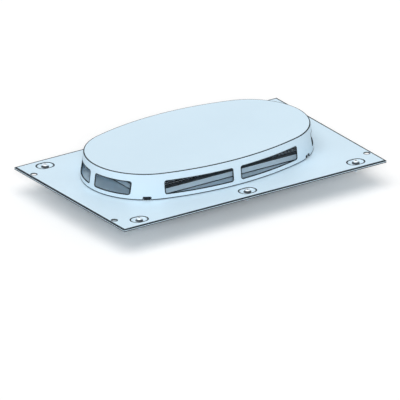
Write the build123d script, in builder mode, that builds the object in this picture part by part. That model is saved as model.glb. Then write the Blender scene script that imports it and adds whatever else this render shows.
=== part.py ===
from build123d import *
import math
import os

# Roof fan for a floor-standing enclosure: two axial fans under the roof panel blow warm air up
# through a grille, and it leaves through the windows of an oval hood. The sizes lead outwards from
# the fans to the outlet frame, the hood, the fixings and the panel, which measures 650 by 400.
# Millimetres. The origin is the middle of the seat plane, where the panel meets the enclosure's
# frame. +X runs along the long side, +Y to the back and +Z up.

# Fans: cast duct with a square flange, and an external-rotor motor on four struts
fan_side = 172.0
fan_spacing = 8.0
fan_corner = 9.0
fan_depth = 51.0
fan_flange = 4.5
fan_bore_edge = 8.0
fan_duct_wall = 3.0
fan_bolt_edge = 9.0
fan_bolt = 4.0
fan_bolt_length = 10.0
fan_bolt_head = 7.0
fan_bolt_head_height = 2.8
strut_width = 9.0
strut_depth = 5.0
strut_count = 4
strut_offset = 14.0
motor_flange = 72.0
motor_flange_thickness = 3.5

# Finger guard: flat-wire rings and spokes, screwed to four posts of the housing
guard_wire = 2.0
guard_ring_pitch = 29.0
guard_rings = 2
guard_spoke = 4.0
guard_post = 9.0
guard_screw = 3.0
guard_screw_length = 9.0
guard_screw_head = 5.5
guard_screw_head_height = 2.0

# Motor and impeller
shaft_diameter = 8.0
bearing_diameter = 15.0
bearing_length = 26.0
bearing_tube_wall = 3.0
bearing_floor = 1.5
rotor_diameter = 70.0
rotor_wall = 2.5
rotor_crown = 3.0
rotor_drop = 5.0
rotor_foot_gap = 3.0
stator_height = 18.0
blade_count = 5
blade_sheet = 1.5
blade_chord = 56.0
blade_camber = 7.0
blade_pitch_angle = 33.0
blade_tip_clearance = 1.5

# Air outlet: its frame, the hood and both fans are centred this far behind the panel's middle
outlet_y = 13.0
outlet_end_margin = 29.2
outlet_side_margin = 30.3
outlet_corner = 13.0
outlet_height = 14.4
outlet_sheet = 1.2
outlet_flange = 9.0

# Grille: perforated sheet on the outlet frame
grille_sheet = 1.0
grille_margin = 0.4
grille_pitch = 44.0
grille_hole = 18.0

# Hood: four-arc oval moulding with drafted walls
hood_end_margin = 65.3
hood_side_margin = 42.7
hood_end_relief = 19.0
hood_height = 54.7
hood_draft_inset = 6.4
hood_wall = 2.5
hood_rim_gap = 0.8
rib_thickness = 2.0
rib_depth = 6.0
rib_pitch = 120.0
cross_ribs = 3
window_sill = 11.0
window_height = 27.5
window_corner = 3.5
side_pillar = 20.0
side_window = 153.0
end_pillar = 18.4
end_window = 78.3
notch_width = 16.0
notch_height = 7.0
notch_bearing = 58.4

# Snap hooks behind the notches, which catch in slots of the panel
hook_width = 12.0
hook_thickness = 2.4
hook_reach = 12.0
hook_barb = 1.8
hook_barb_height = 3.0

# Roof panel: sheet metal, folded down along its four edges
panel_sheet = 1.5
panel_top = 5.0
panel_bend_radius = 1.2
panel_end_margin = 57.0
panel_side_margin = 29.0

# Fixings of the panel: a screw in each of six oblong dishes, close outside the hood
fixing_end_offset = 6.5
fixing_hood_clearance = 1.25
fixing_columns = 3
fixing_rows = 2
dish_length = 36.0
dish_width = 26.0
dish_depth = 3.0
dish_slope_run = 4.5
fixing_thread = 6.0
fixing_shank = 5.3
fixing_length = 18.0
fixing_head_diameter = 13.5
fixing_head_height = 5.6

# Plain holes near the corners
corner_end_distance = 12.5
corner_side_distance = 54.0
corner_hole = 11.0

# Foam strip between the panel and the enclosure's frame
gasket_band = 12.0
gasket_end_clearance = 4.0
gasket_side_clearance = 3.0

# Electric inlet under the panel, beside the right-hand fan
terminal_length = 46.0
terminal_width = 20.0
terminal_height = 17.0
terminal_poles = 4
terminal_pocket = 7.0
terminal_pocket_depth = 9.0
terminal_clearance = 8.0
earth_thread = 5.0
earth_stud_length = 16.0
earth_stud_spacing = 12.0
earth_nut_width = 8.0
earth_nut_height = 4.0

# Clearances
screw_clearance = 0.25
running_clearance = 0.05
seat_clearance = 0.03
air_gap = 0.7
axial_gap = 0.3

# What repeats is drawn with few sides
bolt_sides = 8
hole_sides = 12
dish_sides = 16
ring_sides = 24
duct_sides = 36

# Sizes that lead from the fans outwards
fan_pitch = fan_side + fan_spacing
fan_bore = fan_side - 2 * fan_bore_edge
fan_bolt_pitch = fan_side - 2 * fan_bolt_edge
outlet_length = fan_pitch + fan_bolt_pitch + 2 * outlet_end_margin
outlet_width = fan_bolt_pitch + 2 * outlet_side_margin
hood_length = outlet_length + 2 * hood_end_margin
hood_width = outlet_width + 2 * hood_side_margin
hood_end_radius = hood_width / 2 - hood_end_relief
fixing_pitch_x = hood_length / 2 + fixing_end_offset
fixing_pitch_y = hood_width + 2 * outlet_y + fixing_head_diameter + 2 * fixing_hood_clearance
panel_length = (fixing_columns - 1) * fixing_pitch_x + 2 * panel_end_margin
panel_width = fixing_pitch_y + 2 * panel_side_margin
corner_pitch_x = panel_length - 2 * corner_end_distance
corner_pitch_y = panel_width - 2 * corner_side_distance
gasket_length = corner_pitch_x - corner_hole - 2 * gasket_end_clearance
gasket_width = fixing_pitch_y - dish_width - 2 * gasket_side_clearance

# Heights that several pieces share
panel_underside = panel_top - panel_sheet
dish_floor = panel_top - dish_depth
outlet_top = panel_top + outlet_height
fan_bottom = panel_underside - fan_depth
flange_underside = panel_underside - fan_flange
rotor_top = panel_underside - rotor_drop
rotor_bottom = fan_bottom + strut_depth + rotor_foot_gap
rotor_height = rotor_top - rotor_bottom


def level(height, x=0.0):
    """Horizontal plane at a height above the seat, centred on the outlet or on a fan"""
    return Plane((x, outlet_y, height))


def slice_across(x, bearing):
    """Upright plane through a vertical axis: its x points outwards and its y is the height"""
    angle = math.radians(bearing)
    return Plane(
        (x, outlet_y, 0),
        x_dir=(math.cos(angle), math.sin(angle), 0),
        z_dir=(math.sin(angle), -math.cos(angle), 0),
    )


def oval(inset=0.0):
    """The hood's outline: two end arcs that run tangent into two wide side arcs"""
    half_length = hood_length / 2 - inset
    half_width = hood_width / 2 - inset
    end_radius = hood_end_radius - inset
    end_centre = half_length - end_radius
    side_radius = (half_length**2 + half_width**2 - 2 * half_length * end_radius) / (
        2 * (half_width - end_radius)
    )
    side_centre = side_radius - half_width
    join = math.degrees(math.atan2(side_centre, end_centre))
    with BuildSketch() as outline:
        with BuildLine():
            CenterArc((end_centre, 0), end_radius, -join, 2 * join)
            CenterArc((0, -side_centre), side_radius, join, 180 - 2 * join)
            CenterArc((-end_centre, 0), end_radius, 180 - join, 2 * join)
            CenterArc((0, side_centre), side_radius, 180 + join, 180 - 2 * join)
        make_face()
    return outline.sketch


def faceted(length, width, corner, sides):
    """Rectangle whose corners turn in short flats, as many as a polygon of so many sides has"""
    with BuildSketch() as outline:
        with GridLocations(length - 2 * corner, width - 2 * corner, 2, 2):
            RegularPolygon(corner, sides)
        make_hull()
    return outline.sketch


def save(builder, label):
    """Names a finished piece and writes it"""
    builder.part.label = label
    export_step(builder.part, f"parts/{label}.step")


os.makedirs("parts", exist_ok=True)

# The four notches of the hood, each with a snap hook behind it
hook_centre_x = hood_length / 2 - hood_end_radius
hook_slices = [
    slice_across(hook_centre_x, notch_bearing),
    slice_across(-hook_centre_x, 180 - notch_bearing),
    slice_across(-hook_centre_x, 180 + notch_bearing),
    slice_across(hook_centre_x, -notch_bearing),
]
hood_rim = panel_top + hood_rim_gap
hood_taper = math.degrees(math.atan2(hood_draft_inset, hood_height))
wall_across = hood_wall / math.cos(math.radians(hood_taper))
hook_outside = hood_end_radius - wall_across
hook_inside = hook_outside - hook_thickness

# Roof panel: folded tray with pressed dishes, fan openings, slots and holes
dish_taper = math.degrees(math.atan2(dish_slope_run, dish_depth))
dish = faceted(dish_length, dish_width, dish_width / 2, dish_sides)

with BuildPart() as roof_panel:
    with BuildSketch():
        Rectangle(panel_length, panel_width)
    extrude(amount=panel_top)
    fillet(roof_panel.faces().sort_by(Axis.Z)[-1].edges(), panel_bend_radius)
    with BuildSketch():
        Rectangle(panel_length - 2 * panel_sheet, panel_width - 2 * panel_sheet)
    extrude(amount=panel_underside, mode=Mode.SUBTRACT)
    with BuildSketch(Plane.XY.offset(panel_underside)):
        with GridLocations(fixing_pitch_x, fixing_pitch_y, fixing_columns, fixing_rows):
            add(dish)
    extrude(amount=-dish_depth, taper=dish_taper)
    with BuildSketch(Plane.XY.offset(panel_top)):
        with GridLocations(fixing_pitch_x, fixing_pitch_y, fixing_columns, fixing_rows):
            add(dish)
    extrude(amount=-dish_depth, taper=dish_taper, mode=Mode.SUBTRACT)
    with BuildSketch(level(panel_underside)):
        with GridLocations(fan_pitch, 0, 2, 1):
            RegularPolygon(fan_bore / 2, duct_sides, major_radius=False)
            with GridLocations(fan_bolt_pitch, fan_bolt_pitch, 2, 2):
                RegularPolygon(fan_bolt / 2 + seat_clearance, bolt_sides)
    extrude(amount=panel_sheet, mode=Mode.SUBTRACT)
    with BuildSketch(Plane.XY.offset(dish_floor)):
        with GridLocations(fixing_pitch_x, fixing_pitch_y, fixing_columns, fixing_rows):
            RegularPolygon(fixing_thread / 2 + screw_clearance, hole_sides, major_radius=False)
    extrude(amount=-panel_sheet, mode=Mode.SUBTRACT)
    with GridLocations(corner_pitch_x, corner_pitch_y, 2, 2):
        Hole(corner_hole / 2)
    for hook_slice in hook_slices:
        with BuildSketch(hook_slice):
            with Locations((hook_outside + axial_gap, panel_underside)):
                Rectangle(
                    hook_thickness + hook_barb + axial_gap,
                    panel_sheet,
                    align=(Align.MAX, Align.MIN),
                )
        extrude(amount=hook_width / 2 + screw_clearance, both=True, mode=Mode.SUBTRACT)
save(roof_panel, "roof_panel")

# Gasket: four foam strips, butted at the corners
with BuildPart() as roof_gasket:
    with BuildSketch():
        with GridLocations(0, gasket_width - gasket_band, 1, 2):
            Rectangle(gasket_length, gasket_band)
        with GridLocations(gasket_length - gasket_band, 0, 2, 1):
            Rectangle(gasket_band, gasket_width - 2 * gasket_band - 2 * seat_clearance)
    extrude(amount=panel_underside)
save(roof_gasket, "roof_gasket")

# Fixing screws: the shank is thinner through the panel, and the thread starts at the seat
with BuildPart() as fixing_screws:
    with BuildSketch(Plane.XY.offset(dish_floor)):
        with GridLocations(fixing_pitch_x, fixing_pitch_y, fixing_columns, fixing_rows):
            RegularPolygon(fixing_head_diameter / 2, hole_sides)
    extrude(amount=fixing_head_height)
    with BuildSketch(Plane.XY.offset(dish_floor)):
        with GridLocations(fixing_pitch_x, fixing_pitch_y, fixing_columns, fixing_rows):
            RegularPolygon(fixing_shank / 2, bolt_sides)
    extrude(amount=-dish_floor)
    with BuildSketch():
        with GridLocations(fixing_pitch_x, fixing_pitch_y, fixing_columns, fixing_rows):
            Circle(fixing_thread / 2)
    extrude(amount=dish_floor - fixing_length)
save(fixing_screws, "fixing_screws")

# Outlet frame: low rectangular wall with an inward flange at its foot and at its top
with BuildPart() as outlet_frame:
    with BuildSketch(level(panel_top)):
        RectangleRounded(outlet_length, outlet_width, outlet_corner)
    extrude(amount=outlet_height)
    with BuildSketch(level(panel_top)):
        Rectangle(outlet_length - 2 * outlet_flange, outlet_width - 2 * outlet_flange)
    extrude(amount=outlet_height, mode=Mode.SUBTRACT)
    with BuildSketch(level(panel_top + outlet_sheet)):
        RectangleRounded(
            outlet_length - 2 * outlet_sheet,
            outlet_width - 2 * outlet_sheet,
            outlet_corner - outlet_sheet,
        )
    extrude(amount=outlet_height - 2 * outlet_sheet, mode=Mode.SUBTRACT)
save(outlet_frame, "outlet_frame")

grille_reach = 2 * outlet_flange + grille_hole * math.sqrt(2)
grille_columns = 1 + int((outlet_length - grille_reach) / grille_pitch)
grille_rows = 1 + int((outlet_width - grille_reach) / grille_pitch)

with BuildPart() as grille:
    with BuildSketch(level(outlet_top)):
        RectangleRounded(
            outlet_length - 2 * grille_margin,
            outlet_width - 2 * grille_margin,
            outlet_corner - grille_margin,
        )
        with GridLocations(grille_pitch, grille_pitch, grille_columns, grille_rows):
            Rectangle(grille_hole, grille_hole, rotation=45, mode=Mode.SUBTRACT)
        with GridLocations(grille_pitch, grille_pitch, grille_columns - 1, grille_rows - 1):
            Rectangle(grille_hole, grille_hole, rotation=45, mode=Mode.SUBTRACT)
    extrude(amount=grille_sheet)
save(grille, "grille")

# Hood. The core is the inside of the mould: its grooves leave the ribs under the top
hood_ceiling = hood_rim + hood_height - hood_wall
window_middle = panel_top + window_sill + window_height / 2
side_opening = faceted(side_window, window_height, window_corner, hole_sides)
end_opening = faceted(end_window, window_height, window_corner, hole_sides)

with BuildPart() as hood_core:
    with BuildSketch(level(hood_rim)):
        add(oval(wall_across))
    extrude(amount=hood_ceiling - hood_rim, taper=hood_taper)
    with BuildSketch(level(hood_ceiling)):
        with GridLocations(rib_pitch, 0, cross_ribs, 1):
            Rectangle(rib_thickness, hood_width)
    extrude(amount=-rib_depth, mode=Mode.SUBTRACT)

with BuildPart() as hood:
    with BuildSketch(level(hood_rim)):
        add(oval())
    extrude(amount=hood_height, taper=hood_taper)
    add(hood_core.part, mode=Mode.SUBTRACT)
    with BuildSketch(Plane((0, outlet_y, window_middle), x_dir=(1, 0, 0), z_dir=(0, -1, 0))):
        with GridLocations(side_pillar + side_window, 0, 2, 1):
            add(side_opening)
    extrude(amount=hood_width, both=True, mode=Mode.SUBTRACT)
    with BuildSketch(Plane((0, outlet_y, window_middle), x_dir=(0, 1, 0), z_dir=(1, 0, 0))):
        with GridLocations(end_pillar + end_window, 0, 2, 1):
            add(end_opening)
    extrude(amount=hood_length, both=True, mode=Mode.SUBTRACT)
    for hook_slice in hook_slices:
        with BuildSketch(hook_slice):
            with Locations((hood_end_radius + hood_wall, hood_rim)):
                Rectangle(
                    3 * hood_wall,
                    notch_height - hood_rim_gap,
                    align=(Align.MAX, Align.MIN),
                )
        extrude(amount=notch_width / 2, both=True, mode=Mode.SUBTRACT)
        with BuildSketch(hook_slice):
            with BuildLine():
                Polyline(
                    (hook_inside, panel_top + notch_height + hook_reach),
                    (hook_inside, panel_underside - hook_barb_height),
                    (hook_outside - hook_barb, panel_underside - hook_barb_height),
                    (hook_outside, panel_underside - axial_gap),
                    (hook_outside - hook_barb, panel_underside - axial_gap),
                    (hook_outside - hook_barb, panel_top + notch_height),
                    (hook_outside, panel_top + notch_height),
                    (hook_outside, panel_top + notch_height + hook_reach),
                    close=True,
                )
            make_face()
        extrude(amount=hook_width / 2, both=True)
save(hood, "hood")

# Bolts through each fan's flange into the panel's tapped holes
with BuildPart() as fan_bolts:
    with BuildSketch(level(flange_underside)):
        with GridLocations(fan_pitch, 0, 2, 1):
            with GridLocations(fan_bolt_pitch, fan_bolt_pitch, 2, 2):
                RegularPolygon(fan_bolt_head / 2, 6, major_radius=False)
    extrude(amount=-fan_bolt_head_height)
    with BuildSketch(level(flange_underside)):
        with GridLocations(fan_pitch, 0, 2, 1):
            with GridLocations(fan_bolt_pitch, fan_bolt_pitch, 2, 2):
                RegularPolygon(fan_bolt / 2, bolt_sides)
    extrude(amount=fan_bolt_length)
save(fan_bolts, "fan_bolts")

# Bearings and stators of both motors
tube_bottom = fan_bottom + bearing_floor
tube_top = tube_bottom + bearing_length
flange_top = fan_bottom + motor_flange_thickness
stator_bottom = (flange_top + rotor_top - rotor_crown - stator_height) / 2
rotor_inside = rotor_diameter / 2 - rotor_wall
bearing_tube = bearing_diameter + 2 * bearing_tube_wall

with BuildPart() as shaft_bearings:
    with BuildSketch(level(tube_bottom)):
        with GridLocations(fan_pitch, 0, 2, 1):
            Circle(bearing_diameter / 2)
            Circle(shaft_diameter / 2 + running_clearance, mode=Mode.SUBTRACT)
    extrude(amount=bearing_length)
save(shaft_bearings, "shaft_bearings")

with BuildPart() as motor_stators:
    with BuildSketch(level(stator_bottom)):
        with GridLocations(fan_pitch, 0, 2, 1):
            RegularPolygon(rotor_inside - air_gap, ring_sides)
            RegularPolygon(
                bearing_tube / 2 + seat_clearance, ring_sides, major_radius=False, mode=Mode.SUBTRACT
            )
    extrude(amount=stator_height)
save(motor_stators, "motor_stators")

# Finger guards and their screws
post_radius = (fan_bore + fan_duct_wall + guard_post) / 2

with BuildPart() as finger_guards:
    with BuildSketch(level(fan_bottom)):
        with GridLocations(fan_pitch, 0, 2, 1):
            for ring in range(guard_rings, 0, -1):
                RegularPolygon(ring * guard_ring_pitch + guard_wire / 2, ring_sides)
                RegularPolygon(ring * guard_ring_pitch - guard_wire / 2, ring_sides, mode=Mode.SUBTRACT)
            with PolarLocations(guard_ring_pitch, 4, start_angle=45):
                Rectangle(
                    post_radius + guard_post / 2 - guard_ring_pitch,
                    guard_spoke,
                    align=(Align.MIN, Align.CENTER),
                )
            with PolarLocations(post_radius, 4, start_angle=45):
                RegularPolygon(guard_screw / 2 + screw_clearance, bolt_sides, mode=Mode.SUBTRACT)
    extrude(amount=-guard_wire)
save(finger_guards, "finger_guards")

with BuildPart() as guard_screws:
    with BuildSketch(level(fan_bottom - guard_wire)):
        with GridLocations(fan_pitch, 0, 2, 1):
            with PolarLocations(post_radius, 4, start_angle=45):
                RegularPolygon(guard_screw_head / 2, 6, major_radius=False)
    extrude(amount=-guard_screw_head_height)
    with BuildSketch(level(fan_bottom - guard_wire)):
        with GridLocations(fan_pitch, 0, 2, 1):
            with PolarLocations(post_radius, 4, start_angle=45):
                RegularPolygon(guard_screw / 2, bolt_sides)
    extrude(amount=guard_screw_length)
save(guard_screws, "guard_screws")

# One blade of an impeller: an arched strip at its pitch, trimmed to the bell and the tip circle
blade_level = (rotor_top + rotor_bottom) / 2
blade_tip = fan_bore / 2 - blade_tip_clearance
blade_section = Plane((0, 0, blade_level), x_dir=(0, 1, 0), z_dir=(1, 0, 0))

with BuildPart() as blade:
    with BuildSketch(blade_section.rotated((0, 0, blade_pitch_angle))):
        with BuildLine():
            SagittaArc((-blade_chord / 2, 0), (blade_chord / 2, 0), blade_camber)
            offset(amount=blade_sheet, side=Side.LEFT, closed=True)
        make_face()
    extrude(amount=fan_bore / 2)
    with BuildSketch(Plane.XY.offset(rotor_bottom)):
        Circle(blade_tip)
        Circle(rotor_diameter / 2 - rotor_wall / 2, mode=Mode.SUBTRACT)
    extrude(amount=rotor_height, mode=Mode.INTERSECT)

# Housing, shaft and impeller of each fan
for side, fan_x in {"left": -fan_pitch / 2, "right": fan_pitch / 2}.items():
    with BuildPart() as fan_housing:
        with BuildSketch(level(panel_underside, fan_x)):
            RectangleRounded(fan_side, fan_side, fan_corner)
            with GridLocations(fan_bolt_pitch, fan_bolt_pitch, 2, 2):
                RegularPolygon(fan_bolt / 2 + screw_clearance, bolt_sides, mode=Mode.SUBTRACT)
        extrude(amount=-fan_flange)
        with BuildSketch(level(panel_underside, fan_x)):
            RegularPolygon(fan_bore / 2 + fan_duct_wall, duct_sides, major_radius=False)
            with PolarLocations(post_radius, 4, start_angle=45):
                Rectangle(guard_post, guard_post)
        extrude(amount=-fan_depth)
        with BuildSketch(level(panel_underside, fan_x)):
            RegularPolygon(fan_bore / 2, duct_sides, major_radius=False)
        extrude(amount=-fan_depth, mode=Mode.SUBTRACT)
        with BuildSketch(level(fan_bottom, fan_x)):
            with PolarLocations(post_radius, 4, start_angle=45):
                RegularPolygon(guard_screw / 2 + seat_clearance, bolt_sides)
        extrude(amount=guard_screw_length, mode=Mode.SUBTRACT)
        with BuildSketch(level(fan_bottom, fan_x)):
            with PolarLocations(0, strut_count, start_angle=45):
                with Locations((0, strut_offset)):
                    Rectangle(
                        fan_bore / 2 - fan_duct_wall / 2,
                        strut_width,
                        align=(Align.MIN, Align.CENTER),
                    )
        extrude(amount=strut_depth)
        with BuildSketch(level(fan_bottom, fan_x)):
            RegularPolygon(motor_flange / 2, ring_sides)
        extrude(amount=motor_flange_thickness)
        with BuildSketch(level(fan_bottom, fan_x)):
            RegularPolygon(bearing_tube / 2, ring_sides)
        extrude(amount=tube_top - fan_bottom)
        with BuildSketch(level(tube_bottom, fan_x)):
            Circle(bearing_diameter / 2 + seat_clearance)
        extrude(amount=bearing_length, mode=Mode.SUBTRACT)
    save(fan_housing, f"fan_housing_{side}")

    with BuildPart() as shaft:
        with BuildSketch(level(tube_bottom + axial_gap, fan_x)):
            Circle(shaft_diameter / 2)
        extrude(amount=rotor_top - tube_bottom - axial_gap)
    save(shaft, f"shaft_{side}")

    with BuildPart() as impeller:
        with BuildSketch(level(rotor_bottom, fan_x)):
            RegularPolygon(rotor_diameter / 2, ring_sides, major_radius=False)
        extrude(amount=rotor_height)
        with BuildSketch(level(rotor_bottom, fan_x)):
            RegularPolygon(rotor_inside, ring_sides, major_radius=False)
        extrude(amount=rotor_height - rotor_crown, mode=Mode.SUBTRACT)
        with BuildSketch(level(rotor_bottom, fan_x)):
            Circle(shaft_diameter / 2 + seat_clearance)
        extrude(amount=rotor_height, mode=Mode.SUBTRACT)
        with Locations((fan_x, outlet_y)):
            with PolarLocations(0, blade_count):
                add(blade.part)
    save(impeller, f"impeller_{side}")

# Terminal block and earth stud
terminal_x = (fan_pitch + fan_side + terminal_width) / 2 + terminal_clearance
with BuildPart() as terminal_block:
    with BuildSketch(level(panel_underside, terminal_x)):
        Rectangle(terminal_width, terminal_length)
    extrude(amount=-terminal_height)
    with BuildSketch(level(panel_underside - terminal_height, terminal_x)):
        with GridLocations(0, terminal_length / terminal_poles, 1, terminal_poles):
            Rectangle(terminal_pocket, terminal_pocket)
    extrude(amount=terminal_pocket_depth, mode=Mode.SUBTRACT)
save(terminal_block, "terminal_block")

earth_stud_distance = terminal_length / 2 + earth_stud_spacing

with BuildPart() as earth_stud:
    with BuildSketch(level(panel_underside, terminal_x)):
        with Locations((0, -earth_stud_distance)):
            RegularPolygon(earth_thread / 2, hole_sides)
    extrude(amount=-earth_stud_length)
save(earth_stud, "earth_stud")

with BuildPart() as earth_nut:
    with BuildSketch(level(panel_underside, terminal_x)):
        with Locations((0, -earth_stud_distance)):
            RegularPolygon(earth_nut_width / 2, 6, major_radius=False)
            RegularPolygon(earth_thread / 2 + seat_clearance, hole_sides, mode=Mode.SUBTRACT)
    extrude(amount=-earth_nut_height)
save(earth_nut, "earth_nut")
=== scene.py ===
# %% [markdown]
# A roof fan for an enclosure: a pale blue sheet-steel panel with an oval moulded hood on it, and two
# axial fans that hang below. The solids come from the CAD model as a frame that stays where it is.
# Every piece made here is built around that frame, in metres, and takes the place of one of its nodes.

# %% Load the frame
import math

import bmesh
import bpy
from mathutils import Matrix, Vector
from mathutils.geometry import delaunay_2d_cdt


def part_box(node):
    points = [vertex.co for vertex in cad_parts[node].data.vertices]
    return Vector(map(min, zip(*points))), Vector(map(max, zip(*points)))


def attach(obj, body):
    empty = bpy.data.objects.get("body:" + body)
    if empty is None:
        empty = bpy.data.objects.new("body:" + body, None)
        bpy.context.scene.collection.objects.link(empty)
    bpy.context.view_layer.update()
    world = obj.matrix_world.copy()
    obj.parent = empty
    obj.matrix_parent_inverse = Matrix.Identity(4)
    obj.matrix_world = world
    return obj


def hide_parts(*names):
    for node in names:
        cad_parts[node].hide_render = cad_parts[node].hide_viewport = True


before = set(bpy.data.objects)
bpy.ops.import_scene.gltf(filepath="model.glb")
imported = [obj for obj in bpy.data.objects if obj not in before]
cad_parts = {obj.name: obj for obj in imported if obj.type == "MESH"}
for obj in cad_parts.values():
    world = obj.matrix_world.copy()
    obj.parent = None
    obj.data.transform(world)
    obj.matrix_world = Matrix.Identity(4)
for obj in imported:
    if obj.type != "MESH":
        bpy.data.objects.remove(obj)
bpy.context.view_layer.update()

# %% [markdown]
# The picture is a parallel view, so the camera is orthographic: lines that run the same way stay
# parallel, as they do in a technical drawing. Three axes fix it: right, up and back, worked out from
# the bearing and the height that the panel's edges show. A perspective camera far away would do too,
# but its scale would have to be found by trial.

# %% Camera
bearing = math.radians(-34.27)
height = math.radians(22.92)
right = Vector((math.cos(bearing), math.sin(bearing), 0))
up = Vector((
    -math.sin(bearing) * math.sin(height),
    math.cos(bearing) * math.sin(height),
    math.cos(height),
))
back = right.cross(up)
pixels_per_metre = 488.8
panel_middle = Vector((0, 0, 0.005))
aim = panel_middle - right * (0.4 / pixels_per_metre) - up * (36.3 / pixels_per_metre)

camera_data = bpy.data.cameras.new("parallel_view")
camera_data.type = "ORTHO"
camera_data.ortho_scale = 400 / pixels_per_metre
camera_data.clip_end = 20
camera = bpy.data.objects.new("parallel_view", camera_data)
turn = Matrix((right, up, back)).transposed().to_4x4()
camera.matrix_world = Matrix.Translation(aim + back * 4) @ turn
bpy.context.scene.collection.objects.link(camera)
bpy.context.scene.camera = camera
bpy.context.scene.view_settings.view_transform = "Standard"
print("the view is", round(camera_data.ortho_scale, 4), "m wide")

# %% [markdown]
# Soft studio light in three even parts: a white sky, a wide sun overhead for the top, and one from the
# viewer's side that brings the walls to the same tone and reaches in through the windows. Rays from the
# camera, from gloss and through glass see a plain white backdrop instead, so the background is white
# without more light on the object.

# %% Sky and sun
world = bpy.data.worlds.new("studio")
bpy.context.scene.world = world
world.use_nodes = True
sky = world.node_tree
sky.nodes.clear()
path = sky.nodes.new("ShaderNodeLightPath")
seen = sky.nodes.new("ShaderNodeMath")
seen.operation = "MAXIMUM"
mirrored = sky.nodes.new("ShaderNodeMath")
mirrored.operation = "MAXIMUM"
fill_light = sky.nodes.new("ShaderNodeBackground")
fill_light.inputs["Color"].default_value = (1, 1, 1, 1)
fill_light.inputs["Strength"].default_value = 0.42
backdrop = sky.nodes.new("ShaderNodeBackground")
backdrop.inputs["Color"].default_value = (1, 1, 1, 1)
backdrop.inputs["Strength"].default_value = 1.0
choose = sky.nodes.new("ShaderNodeMixShader")
output = sky.nodes.new("ShaderNodeOutputWorld")
sky.links.new(path.outputs["Is Camera Ray"], seen.inputs[0])
sky.links.new(path.outputs["Is Glossy Ray"], seen.inputs[1])
sky.links.new(seen.outputs[0], mirrored.inputs[0])
sky.links.new(path.outputs["Is Transmission Ray"], mirrored.inputs[1])
sky.links.new(mirrored.outputs[0], choose.inputs[0])
sky.links.new(fill_light.outputs[0], choose.inputs[1])
sky.links.new(backdrop.outputs[0], choose.inputs[2])
sky.links.new(choose.outputs[0], output.inputs[0])

for name, energy, width, direction in (
    ("overhead_sun", 1.45, 60, (-0.25, -0.1, 1.0)),
    ("front_sun", 1.04, 12, (-0.50, -0.76, 0.42)),
):
    lamp_data = bpy.data.lights.new(name, "SUN")
    lamp_data.energy = energy
    lamp_data.angle = math.radians(width)
    lamp = bpy.data.objects.new(name, lamp_data)
    lamp.rotation_euler = Vector(direction).to_track_quat("Z", "Y").to_euler()
    bpy.context.scene.collection.objects.link(lamp)
    print(name, energy)

# %% [markdown]
# A finish is a shader with a little life in it. One helper wires the same three things for each:
# a broad noise that shifts the colour a touch, a second one that shifts the roughness, and a fine one
# that stands for grain or orange peel through a bump. What differs between paint, zinc, casting and
# plastic is only the numbers, so each finish is one call.

# %% Helper for finishes
def finish_of(
    name, low, high, rough, grain, metal=0.0, patch=7.0, stretch=(1, 1, 1), coat=0.0, gloss=0.5
):
    """Material from two colours, a roughness range and (grain scale per metre, depth in metres)"""
    material = bpy.data.materials.new(name)
    material.use_nodes = True
    tree = material.node_tree
    shader = tree.nodes["Principled BSDF"]
    shader.inputs["Metallic"].default_value = metal
    shader.inputs["Coat Weight"].default_value = coat
    shader.inputs["Specular IOR Level"].default_value = gloss
    place = tree.nodes.new("ShaderNodeTexCoord")
    mapping = tree.nodes.new("ShaderNodeMapping")
    mapping.inputs["Scale"].default_value = stretch
    tree.links.new(place.outputs["Object"], mapping.inputs["Vector"])

    broad = tree.nodes.new("ShaderNodeTexNoise")
    broad.inputs["Scale"].default_value = patch
    broad.inputs["Detail"].default_value = 5
    tree.links.new(mapping.outputs[0], broad.inputs["Vector"])
    tint = tree.nodes.new("ShaderNodeValToRGB")
    tint.color_ramp.elements[0].position = 0.3
    tint.color_ramp.elements[0].color = (*low, 1)
    tint.color_ramp.elements[1].position = 0.7
    tint.color_ramp.elements[1].color = (*high, 1)
    tree.links.new(broad.outputs["Fac"], tint.inputs["Fac"])
    tree.links.new(tint.outputs["Color"], shader.inputs["Base Color"])

    wear = tree.nodes.new("ShaderNodeTexNoise")
    wear.inputs["Scale"].default_value = patch * 6
    wear.inputs["Detail"].default_value = 3
    tree.links.new(mapping.outputs[0], wear.inputs["Vector"])
    spread = tree.nodes.new("ShaderNodeMapRange")
    spread.inputs["To Min"].default_value = rough[0]
    spread.inputs["To Max"].default_value = rough[1]
    tree.links.new(wear.outputs["Fac"], spread.inputs["Value"])
    tree.links.new(spread.outputs["Result"], shader.inputs["Roughness"])

    fine = tree.nodes.new("ShaderNodeTexNoise")
    fine.inputs["Scale"].default_value = grain[0]
    fine.inputs["Detail"].default_value = 2
    tree.links.new(mapping.outputs[0], fine.inputs["Vector"])
    relief = tree.nodes.new("ShaderNodeBump")
    relief.inputs["Strength"].default_value = 0.6
    relief.inputs["Distance"].default_value = grain[1]
    tree.links.new(fine.outputs["Fac"], relief.inputs["Height"])
    tree.links.new(relief.outputs["Normal"], shader.inputs["Normal"])
    return material
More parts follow.
